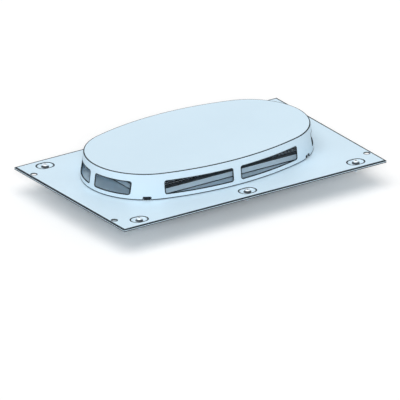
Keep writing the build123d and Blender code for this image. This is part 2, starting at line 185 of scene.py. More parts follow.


# %% [markdown]
# The panel and the outlet frame are powder coated and the hood is moulded in the same pale blue. Each
# paint has a second, near-black finish for its folds, rims and cut edges: painted shade lines, which
# are what draws the form when seen from afar.

# %% Finishes of the outside
pale_low = (0.615, 0.775, 0.885)
pale_high = (0.645, 0.805, 0.915)
# Near-black colours for the painted shade lines on folds, rims and cut edges.
painted_shade_low = (0.010, 0.016, 0.022)
painted_shade_high = (0.026, 0.038, 0.048)
painted_shade_look = dict(rough=(0.6, 0.75), patch=90, gloss=0.2)
roof_paint = finish_of("roof_paint", pale_low, pale_high, (0.42, 0.55), (1100, 0.00004), coat=0.04)
roof_painted_shade = finish_of("roof_painted_shade", painted_shade_low, painted_shade_high, grain=(900, 0.00004), **painted_shade_look)
frame_paint = finish_of("frame_paint", pale_low, pale_high, (0.42, 0.55), (1000, 0.00004))
frame_painted_shade = finish_of("frame_painted_shade", painted_shade_low, painted_shade_high, grain=(900, 0.00004), **painted_shade_look)
hood_moulding = finish_of("hood_moulding", pale_low, pale_high, (0.5, 0.62), (2400, 0.00005), patch=5)
hood_painted_shade = finish_of("hood_painted_shade", painted_shade_low, painted_shade_high, grain=(1800, 0.00004), **painted_shade_look)
grille_paint = finish_of(
    "grille_paint", (0.035, 0.042, 0.05), (0.06, 0.07, 0.08), (0.4, 0.55), (1000, 0.00003)
)
# Pale hole walls: bare punched metal, and partly painted light for the brightness seen through the holes.
grille_burr_and_painted_light = finish_of(
    "grille_burr_and_painted_light", (0.72, 0.80, 0.86), (0.82, 0.89, 0.94), (0.4, 0.55), (1500, 0.00003), metal=0.2
)
screw_zinc = finish_of(
    "screw_zinc", (0.66, 0.76, 0.84), (0.78, 0.86, 0.92), (0.30, 0.45), (2600, 0.00002),
    metal=0.6, patch=160,
)
# Darker copy of the zinc for the head's flank and socket: painted shade.
screw_painted_shade = finish_of(
    "screw_painted_shade", (0.06, 0.07, 0.08), (0.12, 0.13, 0.14), (0.4, 0.6), (2000, 0.00003), metal=0.6
)
washer_black = finish_of(
    "washer_black", (0.05, 0.055, 0.06), (0.09, 0.1, 0.11), (0.5, 0.65), (1800, 0.00003)
)
print("finishes so far:", len(bpy.data.materials))

# %% [markdown]
# Most pieces here are folded, moulded or turned, so one profile carried round an outline makes them.
# The profile is a list of corners, each with the radius of its bend and a mark where the near-black
# painted shade goes. Outlines are functions that can grow or shrink, so that rings of the same count of
# points lie one inside the other and join with plain four-sided faces.

# %% Helpers for profiles and outlines
def fold(corners, steps=4, closed=False):
    """(grow, height, radius, dark) corners to rounded points, and which bands are dark"""
    points, dark = [], set()
    count = len(corners)
    for k, (grow, z, radius, tone) in enumerate(corners):
        here = Vector((grow, z))
        if radius == 0 or (not closed and k in (0, count - 1)):
            points.append((grow, z))
            continue
        before = (Vector(corners[k - 1][:2]) - here).normalized()
        after = (Vector(corners[(k + 1) % count][:2]) - here).normalized()
        half = before.angle(after) / 2
        centre = here + (before + after).normalized() * (radius / math.sin(half))
        first = here + before * (radius / math.tan(half)) - centre
        last = here + after * (radius / math.tan(half)) - centre
        sweep = first.angle(last)
        for s in range(steps + 1):
            t = s / steps
            spoke = (first * math.sin((1 - t) * sweep) + last * math.sin(t * sweep)) / math.sin(sweep)
            if tone and s < steps:
                dark.add(len(points))
            points.append(tuple(centre + spoke))
    return points, dark


def rounded(length, width, corner, grow=0.0, steps=6, at=(0, 0)):
    """Rectangle with round corners"""
    x = length / 2 + grow
    y = width / 2 + grow
    radius = max(corner + grow, 0.15)
    points = []
    for quarter, (sx, sy) in enumerate(((1, 1), (-1, 1), (-1, -1), (1, -1))):
        for s in range(steps + 1):
            angle = math.pi / 2 * (quarter + s / steps)
            points.append((
                at[0] + sx * (x - radius) + radius * math.cos(angle),
                at[1] + sy * (y - radius) + radius * math.sin(angle),
            ))
    return points


def circle(radius, sides=32, at=(0, 0)):
    angles = [math.tau * k / sides for k in range(sides)]
    return [(at[0] + radius * math.cos(a), at[1] + radius * math.sin(a)) for a in angles]


outlet_y = 13.0
end_centre, end_radius = 130.5, 131.0
side_centre, side_radius = 438.7, 588.7


def oval(grow=0.0, end_steps=44, side_steps=40):
    """The hood's outline: four arcs, each running tangent into the next"""
    join = math.atan2(side_centre, end_centre)
    points = []
    for centre, radius, start, sweep, steps in (
        ((end_centre, 0), end_radius, -join, 2 * join, end_steps),
        ((0, -side_centre), side_radius, join, math.pi - 2 * join, side_steps),
        ((-end_centre, 0), end_radius, math.pi - join, 2 * join, end_steps),
        ((0, side_centre), side_radius, math.pi + join, math.pi - 2 * join, side_steps),
    ):
        for s in range(steps):
            angle = start + sweep * s / steps
            points.append((
                centre[0] + (radius + grow) * math.cos(angle),
                centre[1] + outlet_y + (radius + grow) * math.sin(angle),
            ))
    return points


# %% [markdown]
# Rings of points become a skin of four-sided faces, and a flat sheet with holes is filled between its
# rings with triangles that keep every given side. A triangle whose middle lies in a hole is dropped.
# Booleans could punch the holes too, but they leave long thin faces that shade badly.

# %% Helpers for faces and pieces
def rings(shape, profile):
    """Rings from an outline that grows, and (grow, height) points"""
    return [[(x, y, z) for x, y in shape(grow)] for grow, z in profile]


def stack(points, sides, at):
    """Rings about an upright axis, from (radius, height) points"""
    return [[(x, y, z) for x, y in circle(radius, sides, at)] for radius, z in points]


def skin(bm, loops, dark=(), closed=False, first_cap=False, last_cap=False):
    """Four-sided faces between rings of points, with a flat face over an end where asked"""
    rows = [[bm.verts.new(p) for p in loop] for loop in loops]
    pairs = list(zip(rows, rows[1:]))
    if closed:
        pairs.append((rows[-1], rows[0]))
    for band, (a, b) in enumerate(pairs):
        for k in range(len(a)):
            n = (k + 1) % len(a)
            bm.faces.new((a[k], a[n], b[n], b[k])).material_index = int(band in dark)
    if first_cap:
        bm.faces.new(rows[0])
    if last_cap:
        bm.faces.new(rows[-1])
    return rows


def holds(outline, x, y):
    """True where a point lies inside an outline, by counting the sides that a ray crosses"""
    inside = False
    for (ax, ay), (bx, by) in zip(outline, outline[1:] + outline[:1]):
        if (ay > y) != (by > y) and x < ax + (y - ay) * (bx - ax) / (by - ay):
            inside = not inside
    return inside


def sheet_between(bm, rows):
    """Flat sheet with holes, between an outer ring and the rings inside it"""
    verts = [vert for row in rows for vert in row]
    edges, first = [], 0
    for row in rows:
        edges += [(first + k, first + (k + 1) % len(row)) for k in range(len(row))]
        first += len(row)
    made = delaunay_2d_cdt([vert.co.xy for vert in verts], edges, [], 1, 1e-5)
    triangles, origin = made[2], made[3]
    outlines = [[tuple(vert.co.xy) for vert in row] for row in rows]
    faces = []
    for triangle in triangles:
        three = [verts[origin[k][0]] for k in triangle]
        x = sum(vert.co.x for vert in three) / 3
        y = sum(vert.co.y for vert in three) / 3
        if holds(outlines[0], x, y) and not any(holds(hole, x, y) for hole in outlines[1:]):
            faces.append(bm.faces.new(three))
    return faces


def piece_from(bm, name, finishes, nodes=(), body="root", bevel=0.0, limit=35):
    """Mesh in millimetres to a piece in metres, with soft edges, on its body"""
    bmesh.ops.recalc_face_normals(bm, faces=bm.faces)
    mesh = bpy.data.meshes.new(name)
    bm.to_mesh(mesh)
    bm.free()
    mesh.transform(Matrix.Scale(0.001, 4))
    for finish in finishes:
        mesh.materials.append(finish)
    piece = bpy.data.objects.new(name, mesh)
    bpy.context.scene.collection.objects.link(piece)
    for face in mesh.polygons:
        face.use_smooth = True
    if bevel:
        soft = piece.modifiers.new("soft_edges", "BEVEL")
        soft.width = bevel / 1000
        soft.segments = 2
        soft.limit_method = "ANGLE"
        soft.angle_limit = math.radians(limit)
        # Bevel faces take the last finish; where that is the near-black one, they are painted shade lines.
        soft.material = len(finishes) - 1
    even = piece.modifiers.new("even_shading", "WEIGHTED_NORMAL")
    even.keep_sharp = True
    even.weight = 80
    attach(piece, body)
    if nodes:
        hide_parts(*nodes)
    print(name, len(mesh.polygons), "faces")
    return piece


def block(bm, length, width, corner, profile, at=(0, 0), turn=0.0):
    """Solid bar or plate with round corners, standing on an outline"""
    points, dark = fold(profile)
    c, s = math.cos(turn), math.sin(turn)

    def shape(grow):
        flat = rounded(length, width, corner, grow, 4)
        return [(at[0] + x * c - y * s, at[1] + x * s + y * c) for x, y in flat]

    skin(bm, rings(shape, points), dark, first_cap=True, last_cap=True)


# %% [markdown]
# The hood is a plastic moulding: walls 2.5 mm thick that lean in by the draft of the mould, a crisp
# edge round a flat top, and ribs under it. It could be a solid that is hollowed, but carrying the wall's
# own section round the oval gives its thickness at once. The crisp top edge and the foot of the wall
# are painted near black, as painted shade lines. Windows and notches are then cut through with Booleans,
# as they run straight across, and their rims and cut faces get the same painted shade.

# %% Hood shell
hood_foot, hood_top = 7.6, 60.5
# Corners marked 1 and the bands after them are painted near black: painted shade lines at the top edge and
# the foot.
hood_profile, hood_dark = fold([
    (-14, 58.0, 0, 0),
    (-8.62, 58.0, 1.2, 0),
    (-2.52, 5.8, 0.4, 0),
    (0, 5.8, 0.6, 1),
    (-0.2, hood_foot, 0, 0),
    (-6.4, hood_top, 1.4, 1),
    (-8.7, hood_top, 0, 0),
    (-14, hood_top, 0, 0),
])
for last_of_dark in ((-8.7, hood_top), (-0.2, hood_foot)):
    hood_dark.add(hood_profile.index(last_of_dark) - 1)
bm = bmesh.new()
skin(bm, rings(oval, hood_profile), hood_dark, first_cap=True, last_cap=True)
hood = piece_from(bm, "oval_hood", [hood_moulding, hood_painted_shade], ["hood"])


def cutter(shape_points, direction, reach, centre):
    """Prism that cuts along a direction; its points lie across that direction"""
    bm = bmesh.new()
    along = Vector(direction)
    across = Vector((-along.y, along.x, 0))
    ends = []
    for side in (-1, 1):
        start = Vector(centre) + along * side * reach
        ends.append([tuple(start + across * u + Vector((0, 0, v))) for u, v in shape_points])
    skin(bm, ends, first_cap=True, last_cap=True)
    # The cut faces take the second, near-black finish: painted shade on the window reveals.
    for face in bm.faces:
        face.material_index = 1
    bmesh.ops.recalc_face_normals(bm, faces=bm.faces)
    mesh = bpy.data.meshes.new("cutter")
    bm.to_mesh(mesh)
    bm.free()
    mesh.transform(Matrix.Scale(0.001, 4))
    mesh.materials.append(hood_moulding)
    mesh.materials.append(hood_painted_shade)
    tool = bpy.data.objects.new("cutter", mesh)
    bpy.context.scene.collection.objects.link(tool)
    return tool


def cut_with(piece, tools):
    """Cuts every tool out of the piece and drops the tools"""
    for tool in tools:
        cut = piece.modifiers.new("cut", "BOOLEAN")
        cut.operation = "DIFFERENCE"
        cut.solver = "EXACT"
        cut.object = tool
    keep = [m for m in piece.modifiers if m.type != "BOOLEAN"]
    for m in keep:
        m.show_viewport = False
    bpy.context.view_layer.update()
    graph = bpy.context.evaluated_depsgraph_get()
    made = bpy.data.meshes.new_from_object(piece.evaluated_get(graph))
    for m in list(piece.modifiers):
        if m.type == "BOOLEAN":
            piece.modifiers.remove(m)
    for m in keep:
        m.show_viewport = True
    piece.data = made
    for tool in tools:
        bpy.data.objects.remove(tool)


# %% [markdown]
# The mould has eight windows with round corners and four small notches over the snap hooks. Each is cut
# with a straight prism, two windows at a time because the prism runs from one side to the other. After
# that a bevel breaks the cut edges, as a mould's edges are never quite sharp; the cut faces and the
# bevels are painted near black, painted shade round each window and notch.

# %% Windows and notches
window_low, window_high, window_corner = 16.0, 43.5, 4
window_height = window_high - window_low
window_middle = (window_low + window_high) / 2
side_window, end_window = 153, 78.3
side_window_places, end_window_places = (-86.5, 86.5), (-48.35, 48.35)
tools = []
outline = rounded(side_window, window_height, window_corner, steps=6)
for x in side_window_places:
    tools.append(cutter(outline, (0, 1, 0), 200, (x, outlet_y, window_middle)))
outline = rounded(end_window, window_height, window_corner, steps=6)
for y in end_window_places:
    tools.append(cutter(outline, (1, 0, 0), 300, (0, outlet_y + y, window_middle)))
notch_bearing = math.radians(58.4)
hook_spots = []
for sx, sy in ((1, 1), (-1, 1), (-1, -1), (1, -1)):
    outward = Vector((sx * math.cos(notch_bearing), sy * math.sin(notch_bearing), 0))
    hook_spots.append((Vector((sx * end_centre, outlet_y, 0)), outward))
    notch = rounded(16, 14, 0.8, steps=3)
    centre = hook_spots[-1][0] + outward * 130 + Vector((0, 0, 5.0))
    tools.append(cutter(notch, tuple(outward), 8, tuple(centre)))
cut_with(hood, tools)
for face in hood.data.polygons:
    face.use_smooth = True
rim = hood.modifiers.new("rims", "BEVEL")
rim.width = 0.0011
rim.use_clamp_overlap = False
rim.segments = 2
rim.limit_method = "ANGLE"
rim.angle_limit = math.radians(40)
# Bevel faces get the near-black finish: painted shade lines along the window rims.
rim.material = 1
hood.modifiers.move(1, 0)
print("hood after cutting:", len(hood.data.polygons), "faces")

# %% [markdown]
# A slim bead runs round each window and stiffens the wall there; its near-black finish is painted shade,
# a dark line round the window. It follows the wall's curve: its points are set out flat, then laid on
# the round and leaning wall.

# %% Raised rims of the windows
def lean(z):
    """How far the wall has come in at a height, by the draft of the mould"""
    return (z - 5.8) * 6.4 / 54.7


def side_wall(x, z, side, lift):
    """Point on the outside of the hood's long wall"""
    reach = side_radius - lean(z) + lift
    return (x, outlet_y + side * (math.sqrt(reach * reach - x * x) - side_centre), z)


def end_wall(y, z, side, lift):
    """Point on the outside of the hood's round end"""
    reach = end_radius - lean(z) + lift
    return (side * (end_centre + math.sqrt(reach * reach - y * y)), outlet_y + y, z)


def denser(ring, long_side=20, pieces=12):
    """The ring with its long sides cut up, so that it can follow a curved wall"""
    points = []
    for (u, v), (nu, nv) in zip(ring, ring[1:] + ring[:1]):
        count = pieces if abs(nu - u) > long_side else 1
        points += [(u + (nu - u) * s / count, v + (nv - v) * s / count) for s in range(count)]
    return points


rim_section = [(-0.95, -1.2), (-0.95, 0.1), (-0.75, 0.25), (0.95, 0.25), (1.15, 0.1), (1.15, -1.2)]
bm = bmesh.new()
for wall, length, middles in (
    (side_wall, side_window, side_window_places),
    (end_wall, end_window, end_window_places),
):
    for middle in middles:
        for side in (-1, 1):
            loops = []
            for grow, lift in rim_section:
                flat = rounded(length, window_height, window_corner, grow, 6)
                ring = denser([(middle + u, window_middle + v) for u, v in flat])
                loops.append([wall(u, v, side, lift) for u, v in ring])
            skin(bm, loops, closed=True)
piece_from(bm, "window_rims", [hood_painted_shade])

# %% [markdown]
# Three ribs under the top keep it flat, and four hooks snap under the panel's sheet. Both are straight
# bars, the hooks with a section that slopes at the catch so that they spring in when pushed. The hooks'
# sides and the bevels of ribs and hooks are painted near black: painted shade, which is what shows
# through the notches.

# %% Ribs and snap hooks of the hood
bm = bmesh.new()
for x in (-120, 0, 120):
    half = math.sqrt((side_radius - 8) ** 2 - x * x) - side_centre
    rib = [(0, 58.6, 0, 0), (0, 52.3, 0.3, 0), (-0.3, 52.0, 0, 0)]
    block(bm, 2.0, 2 * half, 0.3, rib, (x, outlet_y))
for centre, outward in hook_spots:
    across = Vector((-outward.y, outward.x, 0))
    section = [
        (126.08, 24.0), (126.08, 0.5), (126.68, 0.5), (128.48, 3.2),
        (126.68, 3.2), (126.68, 12.0), (127.9, 12.0), (126.6, 24.0),
    ]
    ends = []
    for w in (-6, 6):
        ends.append([tuple(centre + outward * r + across * w + Vector((0, 0, z))) for r, z in section])
    # Near-black sides of the hook: painted shade seen through the notch.
    skin(bm, ends, dark={0}, first_cap=True, last_cap=True)
piece_from(bm, "hood_ribs_and_hooks", [hood_moulding, hood_painted_shade], bevel=0.25)

# %% [markdown]
# The roof panel is one sheet, 1.5 mm thick: its edges are folded down, six oblong dishes are pressed
# into it for the screws, and holes are punched for fans, bolts, hooks and cable clips. Pressing is a
# smooth change of height, so each dish is a stack of rings with soft bends at its rim and its floor.
# The top and the underside are two skins with the same holes, joined round every hole and edge.

# %% Roof panel
bm = bmesh.new()
top_rows, under_rows = [], []
# Marked corners and bands are painted near black: painted shade lines along the outer top strip, the top
# fold and the lower lip round its bottom fold.
panel_profile, panel_dark = fold([
    (-4.3, 5.0, 0, 0),
    (0, 5.0, 1.9, 1),
    (0, 2.0, 0, 1),
    (0, 0, 0.5, 1),
    (-1.5, 0, 0.35, 1),
    (-1.5, 3.5, 0.4, 0),
    (-5, 3.5, 0, 0),
])
panel_dark |= {0, panel_profile.index((0, 2.0))}
rows = skin(bm, rings(lambda g: rounded(650, 400, 1.5, g, 4), panel_profile), panel_dark)
top_rows.append(rows[0])
under_rows.append(rows[-1])

screw_hole, corner_hole, slot_reach = 3.25, 5.5, 126.53
dish_spots = [(x, y) for x in (-268, 0, 268) for y in (-171, 171)]
for x, y in dish_spots:
    for drop, store in ((0.0, top_rows), (1.5, under_rows)):
        # On the top skin the strip outside each dish and the rim's bend are painted near black: a painted
        # shade line round the dish.
        dish_profile, dish_dark = fold([
            (2.8, 5.0 - drop, 0, 0),
            (0, 5.0 - drop, 2.2 if drop == 0 else 1.2, drop == 0),
            (-4.5, 2.0 - drop, 1.4, 0),
            (-6.2, 2.0 - drop, 0, 0),
        ], steps=5)
        if drop == 0:
            dish_dark.add(0)
        rows = skin(bm, rings(lambda g: rounded(36, 26, 13, g, 10, (x, y)), dish_profile), dish_dark)
        store.append(rows[0])
        if drop == 0:
            floor_row = rows[-1]
        else:
            hole = skin(bm, stack([(screw_hole, 2.0), (screw_hole, 0.5)], 24, (x, y)))
            sheet_between(bm, [floor_row, hole[0]])
            sheet_between(bm, [rows[-1], hole[1]])

fan_spots = {"left": (-90.0, outlet_y), "right": (90.0, outlet_y)}
bolt_places = [(u, v) for u in (-77, 77) for v in (-77, 77)]
punched = [circle(corner_hole, 32, (x, y)) for x in (-312.5, 312.5) for y in (-146, 146)]
punched += [circle(78, 128, spot) for spot in fan_spots.values()]
for x, y in fan_spots.values():
    punched += [circle(2.03, 16, (x + u, y + v)) for u, v in bolt_places]
for centre, outward in hook_spots:
    across = Vector((-outward.y, outward.x, 0))
    middle = centre + outward * slot_reach
    punched.append([
        tuple((middle + outward * (sr * 2.25) + across * (sw * 6.25))[:2])
        for sr, sw in ((1, 1), (-1, 1), (-1, -1), (1, -1))
    ])
for number, outline in enumerate(punched):
    # Round the four corner holes a flat ring, the chamfer and the hole wall are painted near black:
    # painted shade.
    if number < 4:
        soft, dark = [(2.0, 5.0), (0.4, 5.0), (0, 4.6), (0, 3.5)], {0, 1, 2}
    else:
        soft, dark = [(0, 5.0), (0, 3.5)], set()
    middle_x = sum(x for x, _ in outline) / len(outline)
    middle_y = sum(y for _, y in outline) / len(outline)
    loops = []
    for grow, z in soft:
        part = grow / corner_hole
        loops.append([(x + part * (x - middle_x), y + part * (y - middle_y), z) for x, y in outline])
    rows = skin(bm, loops, dark)
    top_rows.append(rows[0])
    under_rows.append(rows[-1])
for rows in (top_rows, under_rows):
    faces = sheet_between(bm, rows)
    area = sum(face.calc_area() for face in faces)
    print("sheet of", len(faces), "faces,", round(area), "mm2, rings", len(rows))
piece_from(bm, "folded_roof_panel", [roof_paint, roof_painted_shade], ["roof_panel"])

# %% [markdown]
# The outlet frame is a folded strip of sheet, a C in section, that runs round the fans' outlets and
# carries the grille. Its section goes round a rectangle with round corners, closed on itself.

# %% Outlet frame
frame_top = 19.4
# Marked corners and bands are painted near black: painted shade, as a strip at the foot where the wall
# meets the panel and as lines along the folds.
frame_profile, frame_dark = fold([
    (0, 5.0, 0.9, 1),
    (0, 7.4, 0, 0),
    (0, frame_top, 1.3, 1),
    (-9, frame_top, 0.3, 1),
    (-9, 18.2, 0.3, 1),
    (-1.2, 18.2, 0.4, 0),
    (-1.2, 6.2, 0.4, 0),
    (-9, 6.2, 0.3, 1),
    (-9, 5.0, 0.3, 1),
], closed=True)
frame_dark.add(frame_profile.index((0, 7.4)) - 1)
bm = bmesh.new()
frame_shape = rings(lambda g: rounded(392.4, 214.6, 13, g, 8, (0, outlet_y)), frame_profile)
skin(bm, frame_shape, frame_dark, closed=True)
piece_from(bm, "outlet_frame_fold", [frame_paint, frame_painted_shade], ["outlet_frame"])

# %% [markdown]
# The grille is perforated sheet with staggered round holes. Six-sided cells tile a staggered pattern
# without gaps, so each hole is a ring of faces inside its own cell, and cells share their corners. Cells
# that would pass the sheet's edge are left out, and the strip round them is filled as one flat sheet.
# The holes are punched after painting, so their walls show bare metal; their pale blue tint is partly
# painted light, standing in for the brightness seen through the holes.

# %% Grille
pitch, hole_radius = 8.4, 3.25
row_pitch = pitch * math.sqrt(3) / 2
grille_low, grille_high = frame_top, frame_top + 1.0
grille_length, grille_width, grille_corner = 391.6, 213.8, 12.6


def inside_sheet(x, y):
    """True where a cell's centre keeps its distance from the sheet's edge"""
    u = max(abs(x) - (grille_length / 2 - grille_corner), 0)
    v = max(abs(y - outlet_y) - (grille_width / 2 - grille_corner), 0)
    return math.hypot(u, v) < grille_corner - pitch * 0.62


def edge_outline(grow):
    """Border of the sheet"""
    return rounded(grille_length, grille_width, grille_corner, grow, 8, (0, outlet_y))


bm = bmesh.new()
shared = {}


def shared_vert(x, y, z):
    """One vertex for each corner that cells have in common"""
    key = (round(x, 3), round(y, 3), z)
    if key not in shared:
        shared[key] = bm.verts.new((x, y, z))
    return shared[key]


cells = 0
for j in range(-16, 17):
    for i in range(-26, 27):
        x = (i + 0.5 * (j % 2)) * pitch
        y = outlet_y + j * row_pitch
        if not inside_sheet(x, y):
            continue
        cells += 1
        for z in (grille_low, grille_high):
            rim = []
            for k in range(12):
                angle = math.radians(30 * k)
                reach = pitch / 2 if k % 2 == 0 else pitch / math.sqrt(3)
                rim.append(shared_vert(x + reach * math.cos(angle), y + reach * math.sin(angle), z))
            ring = [bm.verts.new((px, py, z)) for px, py in circle(hole_radius, 12, (x, y))]
            for k in range(12):
                n = (k + 1) % 12
                bm.faces.new((rim[k], rim[n], ring[n], ring[k]))
            if z == grille_low:
                lower = ring
            else:
                for k in range(12):
                    n = (k + 1) % 12
                    # Hole walls take the pale finish: bare metal and partly painted light.
                    bm.faces.new((lower[k], lower[n], ring[n], ring[k])).material_index = 1


def border_loop(z):
    """The cells' zigzag border at one height, as a ring of points in order"""
    nexts = {}
    for edge in bm.edges:
        a, b = edge.verts
        if edge.is_boundary and abs(a.co.z - z) < 0.01 and abs(b.co.z - z) < 0.01:
            nexts.setdefault(a, []).append(b)
            nexts.setdefault(b, []).append(a)
    first = next(iter(nexts))
    ring, before = [first], None
    while True:
        ahead = [v for v in nexts[ring[-1]] if v is not before]
        if ahead[0] is first and len(ring) > 2:
            return ring
        before = ring[-1]
        ring.append(ahead[0])


border = {z: border_loop(z) for z in (grille_low, grille_high)}
edge_profile, _ = fold([
    (-1.0, grille_low, 0, 0),
    (0, grille_low, 0.2, 0),
    (0, grille_high, 0.3, 0),
    (-1.0, grille_high, 0, 0),
], steps=2)
edge_rows = skin(bm, rings(edge_outline, edge_profile))
for z, row in ((grille_low, edge_rows[0]), (grille_high, edge_rows[-1])):
    sheet_between(bm, [row, border[z]])
piece_from(bm, "perforated_grille", [grille_paint, grille_burr_and_painted_light], ["grille"])
print("holes in the grille:", cells)

# %% [markdown]
# Six screws hold the panel down. Each is a low round head with a six-sided socket on a thin washer,
# and a thread below. A thread is a ridge that climbs as it goes round: a grid of rings whose radius
# depends on both angle and height gives it in one sweep, without a separate helix.

# %% Helpers for turned pieces and threads
def turned(bm, profile, at, sides=32, dark=(), last_cap=True):
    """Round piece about an upright axis from (radius, height) points"""
    return skin(bm, stack(profile, sides, at), dark, first_cap=True, last_cap=last_cap)


def threaded(bm, radius, pitch, low, high, at, sides=20, per_turn=6):
    """Threaded rod, chamfered at its lower end"""
    rows = max(2, int((high - low) / pitch * per_turn))
    depth = 0.55 * pitch
    loops = []
    for r in range(rows + 1):
        z = low + (high - low) * r / rows
        loop = []
        for k in range(sides):
            climb = (z / pitch - k / sides) % 1.0
            ridge = abs(2 * climb - 1)
            reach = radius - depth * ridge
            reach = min(reach, radius - depth + (z - low) * 0.8, radius - depth + (high - z) * 2 + 0.2)
            angle = math.tau * k / sides
            loop.append((at[0] + reach * math.cos(angle), at[1] + reach * math.sin(angle), z))
        loops.append(loop)
    skin(bm, loops, first_cap=True, last_cap=True)


def socket_head(bm, radius, low, high, across_flats, depth, at, flat=0.74):
    """Low domed head with a six-sided socket in its top; its flank and the socket's wall are painted shade
    """
    points, dark = fold([
        (radius - 0.8, low, 0, 0),
        (radius, low, 0.3, 1),
        (radius, low + (high - low) * 0.6, 0.9, 1),
        (radius * flat, high, 0.9, 0),
        (radius * flat - 1.0, high, 0, 0),
    ])
    dark |= set(range(min(dark), max(dark)))
    rows = turned(bm, points, at, 36, dark, last_cap=False)
    corner = across_flats / math.sqrt(3)
    socket = stack([(corner, high), (corner, high - depth)], 6, at)
    walls = skin(bm, socket, dark={0}, last_cap=True)
    sheet_between(bm, [rows[-1], walls[0]])


# %% [markdown]
# The screws come first, with the head's flank and its socket painted dark, painted shade below a pale
# top, and then their washers, which are closed rings lying on the floors of the dishes.

# %% Fixing screws and their washers
bm = bmesh.new()
for spot in dish_spots:
    socket_head(bm, 6.75, 3.1, 8.5, 4.0, 2.8, spot)
    turned(bm, [(2.64, 3.2), (2.64, 0.0)], spot, 24)
    threaded(bm, 3.0, 1.0, -16.0, 0.0, spot)
piece_from(bm, "socket_head_screws", [screw_zinc, screw_painted_shade], ["fixing_screws"])
bm = bmesh.new()
for spot in dish_spots:
    points, dark = fold([
        (3.3, 2.0, 0, 0), (8.2, 2.0, 0.2, 0), (8.2, 3.1, 0.4, 0), (3.3, 3.1, 0, 0),
    ], steps=3)
    skin(bm, stack(points, 36, spot), dark, closed=True)
piece_from(bm, "screw_washers", [washer_black])

# %% [markdown]
# Below the panel the finishes differ from piece to piece: black paint with the grain of a casting,
# bright wire, ground steel, bronze, brass and foam. The same helper gives them all, with other numbers.

# %% Finishes below the panel
gasket_foam = finish_of(
    "gasket_foam", (0.018, 0.018, 0.02), (0.04, 0.04, 0.043), (0.85, 0.98), (900, 0.0003), patch=200
)
fan_casting = finish_of(
    "fan_casting", (0.016, 0.016, 0.018), (0.034, 0.034, 0.037), (0.42, 0.58), (1500, 0.0001), patch=60
)
impeller_paint = finish_of(
    "impeller_paint", (0.02, 0.02, 0.022), (0.036, 0.036, 0.038), (0.3, 0.42), (700, 0.00005), patch=40
)
guard_chrome = finish_of(
    "guard_chrome", (0.70, 0.71, 0.73), (0.80, 0.81, 0.82), (0.12, 0.25), (500, 0.00001), metal=1.0
)
shaft_steel = finish_of(
    "shaft_steel", (0.50, 0.51, 0.53), (0.60, 0.61, 0.63), (0.22, 0.35), (300, 0.00002),
    metal=1.0, stretch=(1, 1, 30),
)
bearing_bronze = finish_of(
    "bearing_bronze", (0.42, 0.27, 0.11), (0.60, 0.40, 0.19), (0.35, 0.55), (3000, 0.00005),
    metal=1.0, patch=900,
)
stator_iron = finish_of(
    "stator_iron", (0.09, 0.09, 0.095), (0.18, 0.18, 0.19), (0.45, 0.6), (200, 0.0002),
    metal=0.8, stretch=(1, 1, 9),
)
terminal_plastic = finish_of(
    "terminal_plastic", (0.58, 0.56, 0.50), (0.65, 0.63, 0.57), (0.42, 0.52), (1200, 0.00004), patch=30
)
earth_brass = finish_of(
    "earth_brass", (0.62, 0.44, 0.17), (0.76, 0.58, 0.26), (0.25, 0.4), (900, 0.00002),
    metal=1.0, patch=200,
)
inner_finishes = {
    "shaft_left": shaft_steel,
    "shaft_right": shaft_steel,
    "shaft_bearings": bearing_bronze,
    "motor_stators": stator_iron,
}
for node, material in inner_finishes.items():
    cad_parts[node].data.materials.clear()
    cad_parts[node].data.materials.append(material)
print("nodes that keep their own shape:", len(inner_finishes))

# %% [markdown]
# The fan housing is a casting: a square flange, a round duct that flares where the air enters, four
# posts for the guard, and struts that carry the motor. The flange is a flat sheet with round holes,
# joined to the duct by rings with soft corners. Posts, struts and the motor's seat are skins of their
# own that run into it.

# %% Fan housings
diagonals = [math.radians(45 + 90 * k) for k in range(4)]
flange_top, flange_low, fan_floor = 3.5, -1.0, -47.5
post_reach = 84


